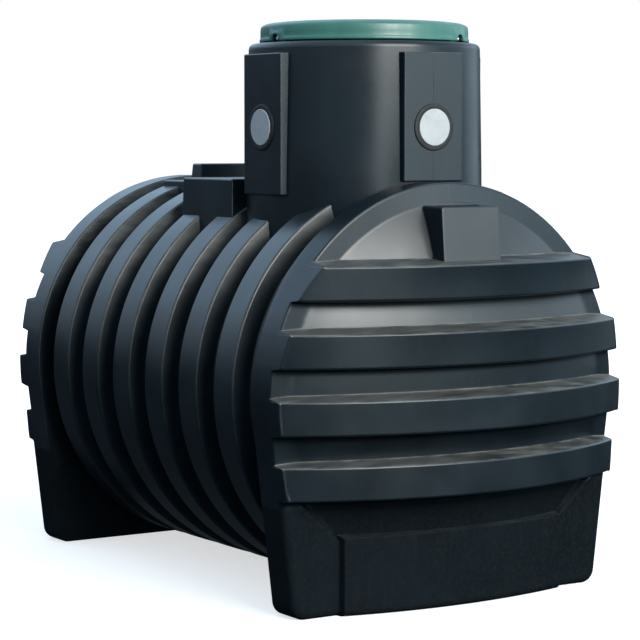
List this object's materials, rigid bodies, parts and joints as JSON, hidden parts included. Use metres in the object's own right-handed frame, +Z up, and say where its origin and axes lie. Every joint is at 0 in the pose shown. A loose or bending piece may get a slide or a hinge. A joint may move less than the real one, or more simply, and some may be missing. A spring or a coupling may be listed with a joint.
{
  "type": "rainwater retention tank",
  "caption": "Free-standing lying rainwater tank with a ribbed barrel, barred dished ends on moulded feet, a round neck with plugged pipe connections and a green cover.",
  "frame": {"origin": "on the floor under the middle of the tank", "axes": "+X along the barrel towards the end with the neck, +Y across the barrel, +Z up"},
  "size_m": [2.0488, 1.244, 1.735],
  "materials": {
    "tank_black": "satin black moulded polyethylene",
    "cover_green": "satin green moulded polyethylene",
    "plug_grey": "smooth light grey plastic",
    "seal_rubber": "matt black rubber",
    "screw_steel": "plain zinc-coated steel"
  },
  "bodies": {
    "root": {"barrel_groove_1": "tank_black", "barrel_groove_2": "tank_black", "barrel_groove_3": "tank_black", "barrel_groove_4": "tank_black", "barrel_groove_5": "tank_black", "barrel_groove_6": "tank_black", "barrel_groove_7": "tank_black", "barrel_rib_1": "tank_black", "barrel_rib_2": "tank_black", "barrel_rib_3": "tank_black", "barrel_rib_4": "tank_black", "barrel_rib_5": "tank_black", "barrel_rib_6": "tank_black", "front_bar_1": "tank_black", "front_bar_2": "tank_black", "front_bar_3": "tank_black", "front_bar_4": "tank_black", "front_end_frame": "tank_black", "front_end_wall": "tank_black", "front_foot_panel": "tank_black", "front_wedge": "tank_black", "ledge_upstand": "tank_black", "lid": "cover_green", "lid_screws": "screw_steel", "neck_collar": "tank_black", "neck_pad_front": "tank_black", "neck_pad_left": "tank_black", "neck_pad_right": "tank_black", "neck_shoulder": "tank_black", "neck_wall": "tank_black", "pipe_plug_front": "plug_grey", "pipe_plug_left": "plug_grey", "pipe_plug_right": "plug_grey", "pipe_seal_front": "seal_rubber", "pipe_seal_left": "seal_rubber", "pipe_seal_right": "seal_rubber", "rear_bar_1": "tank_black", "rear_bar_2": "tank_black", "rear_bar_3": "tank_black", "rear_bar_4": "tank_black", "rear_end_frame": "tank_black", "rear_end_wall": "tank_black", "rear_foot_panel": "tank_black", "rear_ledge": "tank_black", "rear_wedge": "tank_black", "saddle_block": "tank_black"}
  },
  "joints": []
}
